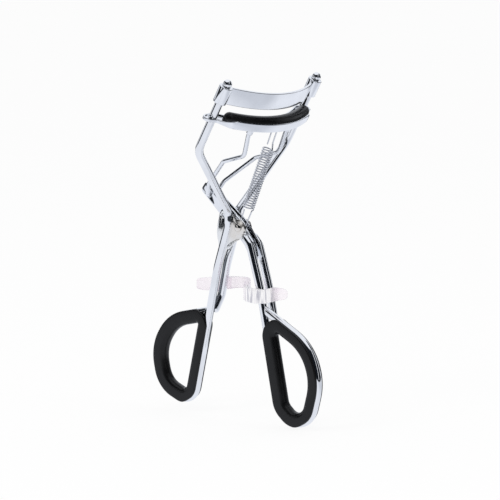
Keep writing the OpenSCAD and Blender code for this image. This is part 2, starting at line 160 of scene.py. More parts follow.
def corner(before, apex, after, radius, step):
    """Arc that rounds a corner, in steps of at most the given degrees."""
    arriving, leaving = unit(apex - before), unit(after - apex)
    turn = angle(arriving, leaving)
    if turn < 1e-4 or radius <= 0:
        return [apex]
    centre = apex + unit(leaving - arriving) * radius / math.cos(turn / 2)
    spoke = apex - arriving * radius * math.tan(turn / 2) - centre
    sweep = arriving * np.linalg.norm(spoke)
    count = max(2, math.ceil(math.degrees(turn) / step))
    return [centre + spoke * math.cos(turn * k / count) + sweep * math.sin(turn * k / count)
            for k in range(count + 1)]


def rounded_path(points, radii, step=3.0):
    path = [points[0]]
    for i in range(1, len(points) - 1):
        path += corner(points[i - 1], points[i], points[i + 1], radii[i], step)
    path.append(points[-1])
    return path


def rounded_loop(points, radii, step):
    count = len(points)
    path = []
    for i in range(count):
        path += corner(points[i - 1], points[i], points[(i + 1) % count], radii[i], step)
    return path


def rounded_outline(points, radius, step=9.0):
    """Rounds the corners of a closed (x, z) outline, less where its edges are short."""
    spots = [np.array([x, 0.0, z]) for x, z in points]
    outline = []
    for i, apex in enumerate(spots):
        before, after = spots[i - 1], spots[(i + 1) % len(spots)]
        turn = angle(apex - before, after - apex)
        if turn < 0.02:
            outline.append(apex)
            continue
        shorter = min(np.linalg.norm(apex - before), np.linalg.norm(after - apex))
        limit = 0.45 * shorter / math.tan(turn / 2)
        outline += corner(before, apex, after, min(radius, limit), step)
    return [(float(spot[0]), float(spot[2])) for spot in outline]


def densify(path, longest):
    """Splits the segments of a path so that none is longer than the limit."""
    dense = [path[0]]
    for start, end in zip(path[:-1], path[1:]):
        count = max(1, int(math.ceil(np.linalg.norm(end - start) / longest)))
        dense += [start + (end - start) * (j / count) for j in range(1, count + 1)]
    return dense


def arc(centre, radius, start, end, count):
    """Plane arc from start to end degrees, both ends included."""
    turns = [math.radians(start + (end - start) * k / count) for k in range(count + 1)]
    return [(centre[0] + radius * math.cos(turn), centre[1] + radius * math.sin(turn))
            for turn in turns]


def rounded_rect(left, right, bottom, top, radius, count=3):
    rect = []
    for x, y, start in ((right - radius, top - radius, 0), (left + radius, top - radius, 90),
                        (left + radius, bottom + radius, 180),
                        (right - radius, bottom + radius, 270)):
        rect += arc((x, y), radius, start, start + 90, count)
    return rect


def circle(centre, across, other, radius, count):
    """Ring of points in the plane of two unit vectors."""
    turns = [2 * math.pi * j / count for j in range(count)]
    return [centre + radius * (math.cos(turn) * across + math.sin(turn) * other)
            for turn in turns]


# ------------------------------------------------------------------
# meshes
# ------------------------------------------------------------------
def link_object(name, mesh):
    made = bpy.data.objects.new(name, mesh)
    bpy.context.scene.collection.objects.link(made)
    return made


def new_mesh(name, verts, faces, smooth=True):
    mesh = bpy.data.meshes.new(name)
    mesh.from_pydata([tuple(float(c) * MM for c in vert) for vert in verts], [], faces)
    mesh.validate()
    mesh.update()
    bm = bmesh.new()
    bm.from_mesh(mesh)
    bmesh.ops.recalc_face_normals(bm, faces=bm.faces)
    bm.to_mesh(mesh)
    bm.free()
    made = link_object(name, mesh)
    if smooth:
        for polygon in mesh.polygons:
            polygon.use_smooth = True
    return made


def quads(rings, sides, closed=False):
    """Faces that join successive rings; closed also joins the last to the first."""
    faces = []
    for i in range(rings if closed else rings - 1):
        here, there = i * sides, (i + 1) % rings * sides
        for j in range(sides):
            k = (j + 1) % sides
            faces.append((here + j, here + k, there + k, there + j))
    return faces


def loft(name, rings, start_reversed=False, smooth=True):
    """Skin over rings of points, with a flat cap at each end."""
    sides = len(rings[0])
    start = tuple(range(sides))
    end = tuple(range((len(rings) - 1) * sides, len(rings) * sides))
    caps = [start[::-1], end] if start_reversed else [start, end[::-1]]
    verts = [point for ring in rings for point in ring]
    return new_mesh(name, verts, quads(len(rings), sides) + caps, smooth)


def travel_frames(path):
    """Tangents along an open path, and a vector across each that doesn't twist."""
    tangents = [unit(path[1] - path[0])]
    for i in range(1, len(path) - 1):
        tangents.append(mean_direction(path[i - 1], path[i], path[i + 1]))
    tangents.append(unit(path[-1] - path[-2]))
    across = unit(np.cross(tangents[0], [0, 1, 0.013]))
    acrosses = []
    for tangent in tangents:
        across = unit(across - np.dot(across, tangent) * tangent)
        acrosses.append(across)
    return tangents, acrosses


def wire(name, path, radius, sides=28, round_start=False, round_end=False, mitre=None,
         squeeze=None):
    """Round wire along a path.

    mitre=(normal, distance) cuts the last end to a plane; squeeze moves each ring point.
    """
    tangents, acrosses = travel_frames(path)

    def ring(i, along, ring_r):
        other = np.cross(tangents[i], acrosses[i])
        return circle(path[i] + tangents[i] * along, acrosses[i], other, ring_r, sides)

    dome = [math.pi / 2 * k / 7 for k in range(1, 7)]
    rings = []
    if round_start:
        rings += [ring(0, -radius * math.sin(a), radius * math.cos(a)) for a in dome[::-1]]
    rings += [ring(i, 0.0, radius) for i in range(len(path))]
    if mitre is not None:
        normal, distance = mitre
        end = tangents[-1]
        rings[-1] = [point + end * (distance - np.dot(point, normal)) / np.dot(end, normal)
                     for point in rings[-1]]
    if round_end:
        rings += [ring(-1, radius * math.sin(a), radius * math.cos(a)) for a in dome]
    verts = [point for loop in rings for point in loop]
    if squeeze is not None:
        verts = [squeeze(point) for point in verts]

    faces = quads(len(rings), sides)
    last = (len(rings) - 1) * sides
    if round_start:
        verts.append(path[0] - tangents[0] * radius)
        tip = len(verts) - 1
        faces += [(tip, (j + 1) % sides, j) for j in range(sides)]
    else:
        faces.append(tuple(range(sides))[::-1])
    if round_end:
        verts.append(path[-1] + tangents[-1] * radius)
        tip = len(verts) - 1
        faces += [(tip, last + j, last + (j + 1) % sides) for j in range(sides)]
    else:
        faces.append(tuple(range(last, last + sides)))
    return new_mesh(name, verts, faces)


def lathe(name, base, axis, profile, sides=40):
    """(radius, height) points turned about an axis."""
    base, axis = np.asarray(base, float), unit(axis)
    across = unit(np.cross(axis, [0.31, 0.87, 0.23]))
    other = np.cross(axis, across)
    rings = [circle(base + axis * height, across, other, max(radius, 1e-4), sides)
             for radius, height in profile]
    return loft(name, rings, start_reversed=True)


def head_sweep(name, centre_out, centre_y, profile, angles):
    """(radius, height) profile swept about an axis along the head's height."""
    rings = []
    for turn in angles:
        cos, sin = math.cos(turn), math.sin(turn)
        rings.append([head_point(centre_out + radius * cos, centre_y + radius * sin, height)
                      for radius, height in profile])
    return loft(name, rings)


def loop_sweep(name, path, section):
    """Closed loop in an XZ plane; section(outward_x) gives (outward, y) points."""
    count = len(path)
    verts = []
    for i, point in enumerate(path):
        before, after = path[i - 1], path[(i + 1) % count]
        outward = np.cross(mean_direction(before, point, after), [0, 1, 0])
        stretch = 1 / math.cos(angle(after - point, point - before) / 2)
        ring = section(float(outward[0]))
        verts += [point + outward * across * stretch + np.array([0, y, 0])
                  for across, y in ring]
    return new_mesh(name, verts, quads(count, len(ring), closed=True))


def apply_modifiers(target):
    bpy.context.view_layer.update()
    evaluated = target.evaluated_get(bpy.context.evaluated_depsgraph_get())
    mesh = bpy.data.meshes.new_from_object(evaluated)
    target.modifiers.clear()
    target.data = mesh


def smooth_by_angle(target, degrees):
    """Smooth shading, with edges sharper than the angle kept crisp."""
    mesh = target.data
    for polygon in mesh.polygons:
        polygon.use_smooth = True
    bm = bmesh.new()
    bm.from_mesh(mesh)
    limit = math.radians(degrees)
    for edge in bm.edges:
        edge.smooth = len(edge.link_faces) == 2 and edge.calc_face_angle(0.0) < limit
    bm.to_mesh(mesh)
    bm.free()


def combine(target, other, operation):
    """Applies a boolean and removes the other object."""
    modifier = target.modifiers.new("combine", "BOOLEAN")
    modifier.operation = operation
    modifier.solver = "EXACT"
    modifier.object = other
    apply_modifiers(target)
    bpy.data.objects.remove(other, do_unlink=True)


def drill(target, start, end, radius, sides=64):
    """Cuts a round hole from start to end."""
    axis = unit(end - start)
    across = unit(np.cross(axis, [0.3, 0.9, 0.2]))
    other = np.cross(axis, across)
    rings = [circle(centre, across, other, radius, sides) for centre in (start, end)]
    cutter = loft("cutter", rings, start_reversed=True, smooth=False)
    combine(target, cutter, "DIFFERENCE")


def flat_plate(name, outline, y_start, y_end, holes=(), bevel=0.12, segments=3, crease=38):
    """Plate with an (x, z) outline, holes and bevelled edges."""
    bm = bmesh.new()
    edges = []
    for loop in [outline, *holes]:
        verts = [bm.verts.new((x * MM, y_start * MM, z * MM)) for x, z in loop]
        for i in range(len(verts)):
            edges.append(bm.edges.new((verts[i], verts[(i + 1) % len(verts)])))
    bmesh.ops.triangle_fill(bm, use_beauty=True, use_dissolve=True, edges=edges)
    extruded = bmesh.ops.extrude_face_region(bm, geom=bm.faces[:])
    moved = [item for item in extruded["geom"] if isinstance(item, bmesh.types.BMVert)]
    bmesh.ops.translate(bm, verts=moved, vec=(0, (y_end - y_start) * MM, 0))
    bmesh.ops.recalc_face_normals(bm, faces=bm.faces[:])
    mesh = bpy.data.meshes.new(name)
    bm.to_mesh(mesh)
    bm.free()
    made = link_object(name, mesh)

    modifier = made.modifiers.new("edges", "BEVEL")
    modifier.width = bevel * MM
    modifier.segments = segments
    modifier.limit_method = "ANGLE"
    modifier.angle_limit = math.radians(35)
    modifier.use_clamp_overlap = True
    apply_modifiers(made)
    smooth_by_angle(made, crease)
    return made


def dress(target, material, body, slot, *nodes):
    """Sets the material and the body it moves with, and hides the CAD nodes it replaces. slot is
    not used.
    """
    target.data.materials.clear()
    target.data.materials.append(material)
    if body:
        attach(target, body)
    if nodes:
        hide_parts(*nodes)


# ------------------------------------------------------------------
# materials, all procedural, in metres
# ------------------------------------------------------------------
AZIMUTH = 40.0               # camera's turn about Z, degrees
ELEVATION = math.radians(7.568)


class Shader:
    """A node tree with short calls for the nodes used here."""

    def __init__(self, owner, output="OutputMaterial"):
        owner.use_nodes = True
        self.tree = owner.node_tree
        self.tree.nodes.clear()
        self.output = self.node(output)
        self.coords = self.node("TexCoord").outputs

    def node(self, kind, inputs=None, **settings):
        """New node; inputs maps a socket's name or index to a value or to another socket."""
        made = self.tree.nodes.new("ShaderNode" + kind)
        for key, value in settings.items():
            setattr(made, key, value)
        for key, value in (inputs or {}).items():
            socket = made.inputs[key]
            if isinstance(value, bpy.types.NodeSocket):
                self.tree.links.new(value, socket)
            else:
                socket.default_value = (*value, 1) if socket.type == "RGBA" else value
        return made

    def finish(self, surface):
        self.tree.links.new(surface, self.output.inputs["Surface"])

    def noise(self, scale, detail=4.0, roughness=0.55, vector=None):
        inputs = {"Scale": scale, "Detail": detail, "Roughness": roughness,
                  "Vector": vector or self.coords["Object"]}
        return self.node("TexNoise", inputs).outputs["Fac"]

    def ramp(self, source, *stops):
        """Colour ramp of (position, colour) stops."""
        made = self.node("ValToRGB", {"Fac": source})
        elements = made.color_ramp.elements
        while len(elements) < len(stops):
            elements.new(0.5)
        for k, (position, colour) in enumerate(stops):
            elements[k].position = position
            elements[k].color = (*colour, 1)
        return made.outputs["Color"]

    def remap(self, source, start, end, low=0.0, high=1.0, curve="LINEAR"):
        """Takes start..end in the source to low..high."""
        inputs = {"From Min": start, "From Max": end, "To Min": low, "To Max": high,
                  "Value": source}
        return self.node("MapRange", inputs, interpolation_type=curve).outputs["Result"]

    def rise(self, source, start, end):
        return self.remap(source, start, end, curve="SMOOTHSTEP")

    def between(self, source, rise_start, rise_end, fall_start, fall_end):
        return self.math("MULTIPLY", self.rise(source, rise_start, rise_end),
                         self.inverse(self.rise(source, fall_start, fall_end)))

    def math(self, operation, *values, clamp=False):
        made = self.node("Math", dict(enumerate(values)), operation=operation, use_clamp=clamp)
        return made.outputs["Value"]

    def inverse(self, value):
        return self.math("SUBTRACT", 1.0, value)

    def mix(self, factor, first, second):
        inputs = {"Fac": factor, "Color1": first, "Color2": second}
        return self.node("MixRGB", inputs).outputs["Color"]

    def mix_shader(self, factor, first, second):
        return self.node("MixShader", {"Fac": factor, 1: first, 2: second}).outputs["Shader"]

    def bump(self, height, strength, distance):
        inputs = {"Strength": strength, "Distance": distance, "Height": height}
        return self.node("Bump", inputs).outputs["Normal"]

    def separate(self, vector):
        return self.node("SeparateXYZ", {"Vector": vector}).outputs

    def turned(self, vector):
        """Axes turned so that +X points at the camera and +Y to its right."""
        inputs = {"Rotation": (0, 0, math.radians(90 - AZIMUTH)), "Vector": vector}
        mapping = self.node("Mapping", inputs, vector_type="VECTOR")
        return self.separate(mapping.outputs["Vector"])


# painted warm reflection: brownish colour mixed into the chrome round the pivot, standing for a
# brownish reflection there
PAINTED_WARM_REFLECTION = (0.62, 0.50, 0.36)
# painted shade: colour of the dark line in the gap between two handle wires, standing for shade
# and a dark reflection
PAINTED_GAP_SHADE = (0.10, 0.115, 0.13)
CAMERA_RIGHT = (0.766, 0.643)              # x, y
PAINTED_GAP_SHADE_FADES = ((-0.0075, -0.0100), (-0.0370, -0.0345))   # (none, full) z at each end of the painted gap shade


def chrome(name, tint, rough, wave, warm_reflection=0.0, gap_line=None):
    """Polished metal.

    rough: (lowest, highest) roughness. wave: strength of the surface ripple.
    warm_reflection: strength of the painted warm reflection round the pivot.
    gap_line: (camera side, start, end) of the normal's sideways part over which the painted
    dark line of shade and reflection comes in.
    """
    material = bpy.data.materials.new(name)
    shader = Shader(material)
    dimmed = tuple(c * 0.93 for c in tint)
    colour = shader.ramp(shader.noise(140, detail=3), (0.35, dimmed), (0.62, tint))
    if warm_reflection > 0:
        # painted warm reflection: brownish spots that fade out away from the pivot
        length = shader.node("VectorMath", {0: shader.coords["Object"]}, operation="LENGTH")
        near_pivot = shader.remap(length.outputs["Value"], 0.0015, 0.0075, low=warm_reflection, high=0.0)
        spots = shader.noise(420, detail=3)
        colour = shader.mix(shader.math("MULTIPLY", near_pivot, spots), colour, PAINTED_WARM_REFLECTION)
    if gap_line is not None:
        # painted shade and dark reflection: a dark line down the handle where two wires lie side
        # by side
        side, start, end = gap_line
        sideways = shader.node(
            "VectorMath",
            {0: shader.coords["Normal"],
             1: (side * CAMERA_RIGHT[0], side * CAMERA_RIGHT[1], 0.0)},
            operation="DOT_PRODUCT")
        height = shader.separate(shader.coords["Object"])["Z"]
        mask = shader.remap(sideways.outputs["Value"], start, end, high=0.9)
        for none, full in PAINTED_GAP_SHADE_FADES:
            mask = shader.math("MULTIPLY", mask, shader.remap(height, none, full))
        colour = shader.mix(mask, colour, PAINTED_GAP_SHADE)
    fine = shader.noise(900, detail=5, roughness=0.6)
    roughness = shader.remap(fine, 0.35, 0.7, *rough)
    ripple = shader.bump(shader.noise(260, detail=2), strength=wave, distance=0.00002)
    metal = shader.node("BsdfPrincipled", {
        "Metallic": 1.0, "Base Color": colour, "Roughness": roughness, "Normal": ripple})
    shader.finish(metal.outputs["BSDF"])
    return material


def rubber(name, grain, grain_depth, specular):
    """Black rubber; grain is the noise scale of its surface."""
    material = bpy.data.materials.new(name)
    shader = Shader(material)
    base = (0.0030, 0.0030, 0.0034)
    lighter = tuple(c * 1.7 + 0.002 for c in base)
    mottle = shader.noise(160)
    body = shader.node("BsdfPrincipled", {
        "Base Color": shader.ramp(mottle, (0.35, base), (0.7, lighter)),
        "Roughness": shader.remap(mottle, 0.3, 0.7, low=0.24, high=0.36),
        "Specular IOR Level": specular,
        "Coat Weight": 0.09,
        "Coat Roughness": 0.25,
        "Normal": shader.bump(shader.noise(grain, detail=3), grain_depth, distance=0.00003)})
    shader.finish(body.outputs["BSDF"])
    return material


def clear_plastic(name):
    """Clear plastic with a faint pink cast; whiter in the part over the lever wires."""
    material = bpy.data.materials.new(name)
    shader = Shader(material)
    x = shader.separate(shader.coords["Object"])["X"]
    milky = shader.noise(230)
    stretched = shader.node("Mapping", {"Scale": (1.0, 1.0, 0.10),
                                        "Vector": shader.coords["Object"]})
    streaks = shader.noise(1250, detail=2, roughness=0.5, vector=stretched.outputs["Vector"])
    boss = shader.math("MULTIPLY", shader.remap(x, 0.0035, 0.0060),
                       shader.remap(x, 0.0150, 0.0180, low=1, high=0))
    pink = shader.ramp(milky, (0.35, (0.92, 0.82, 0.90)), (0.55, (0.96, 0.91, 0.95)),
                       (0.75, (0.95, 0.84, 0.90)))
    # painted refraction: the grey streaks in the boss's colour stand for the wires seen through it
    refraction_streaks = shader.ramp(streaks, (0.38, (0.55, 0.55, 0.61)), (0.48, (0.95, 0.94, 0.96)),
                        (0.60, (0.99, 0.98, 0.99)), (0.68, (0.76, 0.73, 0.80)))
    body = shader.node("BsdfPrincipled", {
        "Base Color": shader.mix(boss, pink, refraction_streaks), "Roughness": 0.14, "IOR": 1.46,
        "Normal": shader.bump(streaks, strength=0.22, distance=0.00006)})
    tint = shader.ramp(milky, (0.3, (0.955, 0.925, 0.955)), (0.6, (0.99, 0.975, 0.99)))
    through = shader.node("BsdfTransparent", {"Color": tint})
    # more solid at grazing angles, in the milky patches and in the boss
    facing = shader.node("LayerWeight", {"Blend": 0.35}).outputs["Facing"]
    grazing = shader.remap(facing, 0.15, 0.95, low=0.10, high=0.85)
    patches = shader.remap(milky, 0.3, 0.7, low=-0.02, high=0.05)
    solid = shader.math("ADD", grazing, patches, clamp=True)
    solid = shader.math("ADD", solid, shader.math("MULTIPLY", boss, 0.80), clamp=True)
    shader.finish(shader.mix_shader(solid, through.outputs["BSDF"], body.outputs["BSDF"]))
    return material


WIRE_LOOK = {"tint": (0.93, 0.935, 0.945), "rough": (0.02, 0.055), "wave": 0.06}
PLATE_TINT = (0.92, 0.93, 0.95)
CHROME_WIRE = chrome("chrome_wire", **WIRE_LOOK)
# the near and far frame wires carry the painted dark line of shade and reflection in the gap
# between them
CHROME_NEAR = chrome("chrome_wire_near", **WIRE_LOOK, gap_line=(1, 0.74, 0.86))
CHROME_FAR = chrome("chrome_wire_far", **WIRE_LOOK, gap_line=(-1, 0.28, 0.42))
CHROME_PLATE = chrome("chrome_plate", tint=PLATE_TINT, rough=(0.05, 0.12), wave=0.14)
CHROME_CHANNEL = chrome("chrome_channel", tint=PLATE_TINT, rough=(0.04, 0.10), wave=0.12)
# the bracket carries the painted warm reflection round the pivot
CHROME_BRACKET = chrome("chrome_bracket", tint=(0.90, 0.90, 0.89), rough=(0.06, 0.17),
                        wave=0.18, warm_reflection=0.9)
CHROME_LINK = chrome("chrome_link", tint=(0.90, 0.91, 0.93), rough=(0.03, 0.08), wave=0.06)
SPRING_STEEL = chrome("spring_steel", tint=(0.76, 0.77, 0.80), rough=(0.10, 0.26), wave=0.3)
LINER_RUBBER = rubber("liner_rubber", grain=2200, grain_depth=0.06, specular=0.24)
PAD_RUBBER = rubber("pad_rubber", grain=3000, grain_depth=0.08, specular=0.26)
CLIP_PLASTIC = clear_plastic("clear_plastic")


# ------------------------------------------------------------------
# handle wires
# ------------------------------------------------------------------
FRAME_FLAT = {"gap": 1.5, "x_range": (-9, 4), "z_range": (-7.6, 7.0)}
LEVER_FLAT = {"gap": 1.0, "x_range": (-2, 10), "z_range": (-10.4, 3.0)}


def pressed_flat(side, gap, x_range, z_range):
    """Flattens a wire's inner face at y = gap, within a box beside the pivot plates."""
    free_y, fade = 0.80, 0.9

    def press(point):
        x, y, z = point
        if x_range[0] < x < x_range[1] and z_range[0] < z < z_range[1]:
            edge = min(z - z_range[0], z_range[1] - z)
            limit = lerp(free_y, gap, smoothstep(edge / fade))
            if side * y < limit:
                return np.array([x, side * limit, z])
        return point
    return press


def beside(start, end, side):
    """Plane along the side of a straight wire, as (normal, distance)."""
    normal = side * unit(np.cross(unit(end - start), [0, 1, 0]))
    return normal, float(np.dot(start, normal)) + WIRE_R + 0.02


def looped_wire(name, points, radii, knee, loop, plane_side, squeeze, **ends):
    """Near handle wire: runs down, round the loop, and ends against itself."""
    points = points + [side_point(point, -WIRE_Y) for point in loop]
    plane = beside(side_point(knee, -WIRE_Y), side_point(loop[0], -WIRE_Y), plane_side)
    path = densify(rounded_path(points, radii + [0]), 1.5)
    return wire(name, path, WIRE_R, mitre=plane, squeeze=squeeze, **ends)


def frame_wires():
    """Two wires, each a guide rod, a leg and one side of the frame handle."""
    def upper_part(side):
        rod = [head_point(ROD_OUT, side * ROD_Y, height) for height in (ROD_TOP, ROD_BEND)]
        return rod + [side_point(point, side * WIRE_Y) for point in [LEG_END, *FRAME_KNEES]]

    radii = [0, 6, 3, 8, 28]
    near = looped_wire("frame_wire_near_vis", upper_part(-1), radii + FRAME_LOOP_RADII,
                       FRAME_KNEES[1], FRAME_LOOP, -1, pressed_flat(-1, **FRAME_FLAT))
    dress(near, CHROME_NEAR, "frame", "chrome", "frame_wire_near")

    points = upper_part(1) + [np.array([-9.55, WIRE_Y, -21.2]), np.array([-10.5, 0.4, -25.3])]
    far = wire("frame_wire_far_vis", densify(rounded_path(points, radii + [5, 0]), 1.5), WIRE_R,
               round_end=True, squeeze=pressed_flat(1, **FRAME_FLAT))
    dress(far, CHROME_FAR, "frame", "chrome", "frame_wire_far")


def rod_heads():
    """Domes on the tops of the guide rods."""
    radius = WIRE_R + 0.12
    profile = [(WIRE_R - 0.05, -1.25), (WIRE_R - 0.02, -1.0)]
    profile += arc((0, 0), radius, -36, 81, 13) + [(0.02, radius)]
    for tag, side in SIDES:
        head = lathe("rod_head_" + tag, head_point(ROD_OUT, side * ROD_Y, ROD_TOP),
                     head_point(0, 0, 1), profile)
        dress(head, CHROME_WIRE, "frame", "chrome")


def lever_wires():
    """Two wires, each one side of the lever handle."""
    def upper_part(side):
        return [side_point(point, side * WIRE_Y) for point in [LEVER_TOP, *LEVER_KNEES]]

    radii = [0, 5, 40]
    near = looped_wire("lever_wire_near_vis", upper_part(-1), radii + LEVER_LOOP_RADII,
                       LEVER_KNEES[1], LEVER_LOOP, 1, pressed_flat(-1, **LEVER_FLAT),
                       round_start=True)
    dress(near, CHROME_WIRE, "lever", "chrome", "lever_wire_near")

    points = upper_part(1) + [np.array([10.5, WIRE_Y, -25.6])]
    far = wire("lever_wire_far_vis", densify(rounded_path(points, radii + [0]), 1.5), WIRE_R,
               round_start=True, round_end=True, squeeze=pressed_flat(1, **LEVER_FLAT))
    dress(far, CHROME_WIRE, "lever", "chrome", "lever_wire_far")


# ------------------------------------------------------------------
# upper jaw
# ------------------------------------------------------------------
def upper_jaw():
    """Curved plate between two sleeves rolled round the rods."""
    profile = rounded_rect(UPPER_R - UPPER_THICK, UPPER_R,
                           UPPER_TOP - UPPER_DEPTH - 0.15, UPPER_TOP - 0.05, 0.16)
    reach = ROD_ANGLE - math.radians(2.6)
    angles = [-reach + 2 * reach * i / 120 for i in range(121)]
    plate = head_sweep("upper_jaw_plate", ARC_OUT, 0, profile, angles)
    smooth_by_angle(plate, 50)
    dress(plate, CHROME_PLATE, "frame", "chrome", "upper_jaw")

    profile = rounded_rect(WIRE_R + 0.02, WIRE_R + UPPER_THICK + 0.03,
                           UPPER_TOP - UPPER_DEPTH, UPPER_TOP, 0.18)
    half_gap = math.radians(3.6)
    for tag, side in SIDES:
        gap_line = math.radians(58 * side)
        angles = [gap_line + half_gap + (2 * math.pi - 2 * half_gap) * i / 72 for i in range(73)]
        sleeve = head_sweep("upper_jaw_sleeve_" + tag, ROD_OUT, side * ROD_Y, profile, angles)
        smooth_by_angle(sleeve, 50)
        dress(sleeve, CHROME_PLATE, "frame", "chrome")


# ------------------------------------------------------------------
# pivot: bracket, rivet and link plates, outlines as (x, z)
# ------------------------------------------------------------------
BRACKET_OUTLINE = [
    (-7.2, 3.6), (-6.4, 4.9), (-5.2, 5.3), (-3.6, 4.7), (-2.0, 3.3),
    *arc((0, 0), 2.45, 115, -50, 26), *arc((-0.4, -1.3), 2.1, -22, -100, 12),
    (-3.4, -4.7), (-5.8, -7.0), (-7.0, -7.2), (-7.5, -6.6), (-7.6, -5), (-8.0, -3.6),
    (-8.2, -1.9), (-8.0, 0), (-7.6, 1.8)]
BRACKET_HOLE = arc((-5.9, 3.1), 0.75, 0, 345, 23)
SADDLE_OUTLINE = [
    (-7.72, 0.35), (-8.0, -0.2), (-8.2, -1.9), (-8.0, -3.6), (-7.6, -5), (-7.5, -6.6),
    (-7.0, -7.15), (-6.8, -6.6), (-7.05, -4.8), (-7.45, -3.4), (-7.65, -1.9), (-7.5, -0.2),
    (-7.35, 0.35)]
LINK_PLATE_OUTLINE = [
    (-13.0, 12.7), (-14.4, 10.9), (-14.5, 9.85), (-7.93, 3.95), (-1.85, -1.55), (1.9, -4.9),
    (4.3, -8.8), (6.3, -9.2), (7.1, -8.0), (6.2, -4.4), (4.4, -2.0), (2.4, 0.8), (0.3, 2.75)]
WEB_OUTLINE = [(-14.45, 9.87), (-8.6, 4.58), (-8.28, 4.95), (-14.13, 10.24)]


def bracket():
    """Two walls joined by a saddle along their -X edge."""
    outline = rounded_outline(BRACKET_OUTLINE, 0.8)
    for tag, side in SIDES:
        wall = flat_plate("bracket_wall_" + tag, outline, side * 1.2, side * 1.75,
                          holes=[BRACKET_HOLE], bevel=0.13)
        dress(wall, CHROME_BRACKET, "frame", "chrome", "pivot_bracket")
    saddle = flat_plate("bracket_saddle", rounded_outline(SADDLE_OUTLINE, 0.7), -1.25, 1.25,
                        bevel=0.1, segments=2, crease=40)
    dress(saddle, CHROME_BRACKET, "frame", "chrome")


def rivet():
    """Pivot pin with a low dome at each end."""
    profile = [(RIVET_R - 0.1, -1.85), (RIVET_R, -1.75), (RIVET_R, 1.75), (RIVET_R - 0.1, 1.85)]
    shank = lathe("pivot_rivet_shank", (0, 0, 0), (0, 1, 0), profile)
    dress(shank, CHROME_BRACKET, "frame", "chrome", "pivot_pin")

    head_r, rise, rim = 1.25, 0.60, 0.06
    turns = [math.radians(degrees) for degrees in range(8, 90, 8)]
    profile = [(head_r - 0.05, 0.0), (head_r, rim)]
    profile += [(head_r * math.cos(turn), rim + rise * math.sin(turn)) for turn in turns]
    profile.append((0.02, rim + rise))
    for tag, side in SIDES:
        head = lathe("pivot_rivet_head_" + tag, (0, side * 1.765, 0), (0, side, 0), profile)
        smooth_by_angle(head, 50)
        dress(head, CHROME_BRACKET, "frame", "chrome")


def hook_slot():
    """Slot round the link wires' ends, along the line from the pivot."""
    reach, turn = math.hypot(*HOOK), math.atan2(HOOK[1], HOOK[0])
    radius = LINK_R + 0.13
    slot = arc((reach + 0.6, 0), radius, -90, 90, 12)
    slot += arc((reach - 0.3, 0), radius, 90, 270, 12)
    cos, sin = math.cos(turn), math.sin(turn)
    return [(x * cos - y * sin, x * sin + y * cos) for x, y in slot]


def link_plates():
    """Lever's two plates at the pivot, with a web along their -X, lower edge."""
    outline = rounded_outline(LINK_PLATE_OUTLINE, 0.7)
    pin_hole = arc((0, 0), RIVET_R + 0.04, 0, 348, 29)
    for tag, side in SIDES:
        plate = flat_plate("link_plate_" + tag, outline, side * 0.6, side * 1.15,
                           holes=[hook_slot(), pin_hole])
        dress(plate, CHROME_PLATE, "lever", "chrome", "lever_link_plate")
    web = flat_plate("link_plate_web", rounded_outline(WEB_OUTLINE, 0.1), -0.7, 0.7,
                     bevel=0.08, segments=2, crease=40)
    dress(web, CHROME_PLATE, "lever", "chrome")


# ------------------------------------------------------------------
# soft liners in the finger loops
# ------------------------------------------------------------------
LINER_DEPTH = 3.15           # from the wire's middle to the opening
LINER_HALF = 1.8             # half the width along y
LINER_ROUND = 1.6
LINER_LIP = [(0.42, 0), (0.22, 0.03), (0.07, 0.12), (0, 0.28)]   # (back from edge, in from flank)


def liner_section(outward_x):
    """Rounded inside and grooved outside; the flanks reach further out where the loop
    faces -X."""
    edge = 1.12 - 0.52 * smoothstep((outward_x + 0.1) / 0.6)
    groove_r = WIRE_R + 0.03
    lip_turn = math.degrees(math.asin(edge / groove_r))
    inner = -LINER_DEPTH + LINER_ROUND
    section = arc((inner, -LINER_HALF + LINER_ROUND), LINER_ROUND, 180, 270, 11)
    section += [(edge - back, -LINER_HALF + inset) for back, inset in LINER_LIP]
    section += arc((0, 0), groove_r, lip_turn - 90, -270 - lip_turn, 18)
    section += [(edge - back, LINER_HALF - inset) for back, inset in LINER_LIP[::-1]]
    section += arc((inner, LINER_HALF - LINER_ROUND), LINER_ROUND, 90, 180, 11)[:-1]
    return section


def liner(name, order, radii, knee, loop, straight_gap, tail_length, body, node):
    """Liner round a loop, with clearance holes for the wire's two ends.

    straight_gap: where the first hole stops before the loop's first corner.
    tail_length: how far the second hole follows the wire from its end.
    """
    path = []
    coarse = rounded_loop([side_point(point, -WIRE_Y) for point in order], radii, 4.0)
    for i, start in enumerate(coarse):
        end = coarse[(i + 1) % len(coarse)]
        count = max(1, int(np.linalg.norm(end - start) / 1.5))
        path += [start + (end - start) * j / count for j in range(count)]
    made = loop_sweep(name, path, liner_section)

    knee, first, fourth, last = [
        side_point(point, -WIRE_Y) for point in (knee, loop[0], loop[3], loop[4])]
    down, back = unit(first - knee), unit(fourth - last)
    drill(made, knee, first - down * straight_gap, WIRE_R + 0.06)
    drill(made, last + back * 0.5, last + back * tail_length, WIRE_R + 0.06)
    smooth_by_angle(made, 42)
    dress(made, LINER_RUBBER, body, "liner_rubber", node)


def liners():
    liner("frame_liner_vis", FRAME_LOOP[4:] + FRAME_LOOP[:4], [3.4] + FRAME_LOOP_RADII,
          FRAME_KNEES[1], FRAME_LOOP, straight_gap=22, tail_length=6.3,
          body="frame", node="frame_loop_liner")
    liner("lever_liner_vis", LEVER_LOOP[::-1], [4.0] + LEVER_LOOP_RADII[::-1],
          LEVER_KNEES[1], LEVER_LOOP, straight_gap=5.5, tail_length=9.3,
          body="lever", node="lever_loop_liner")


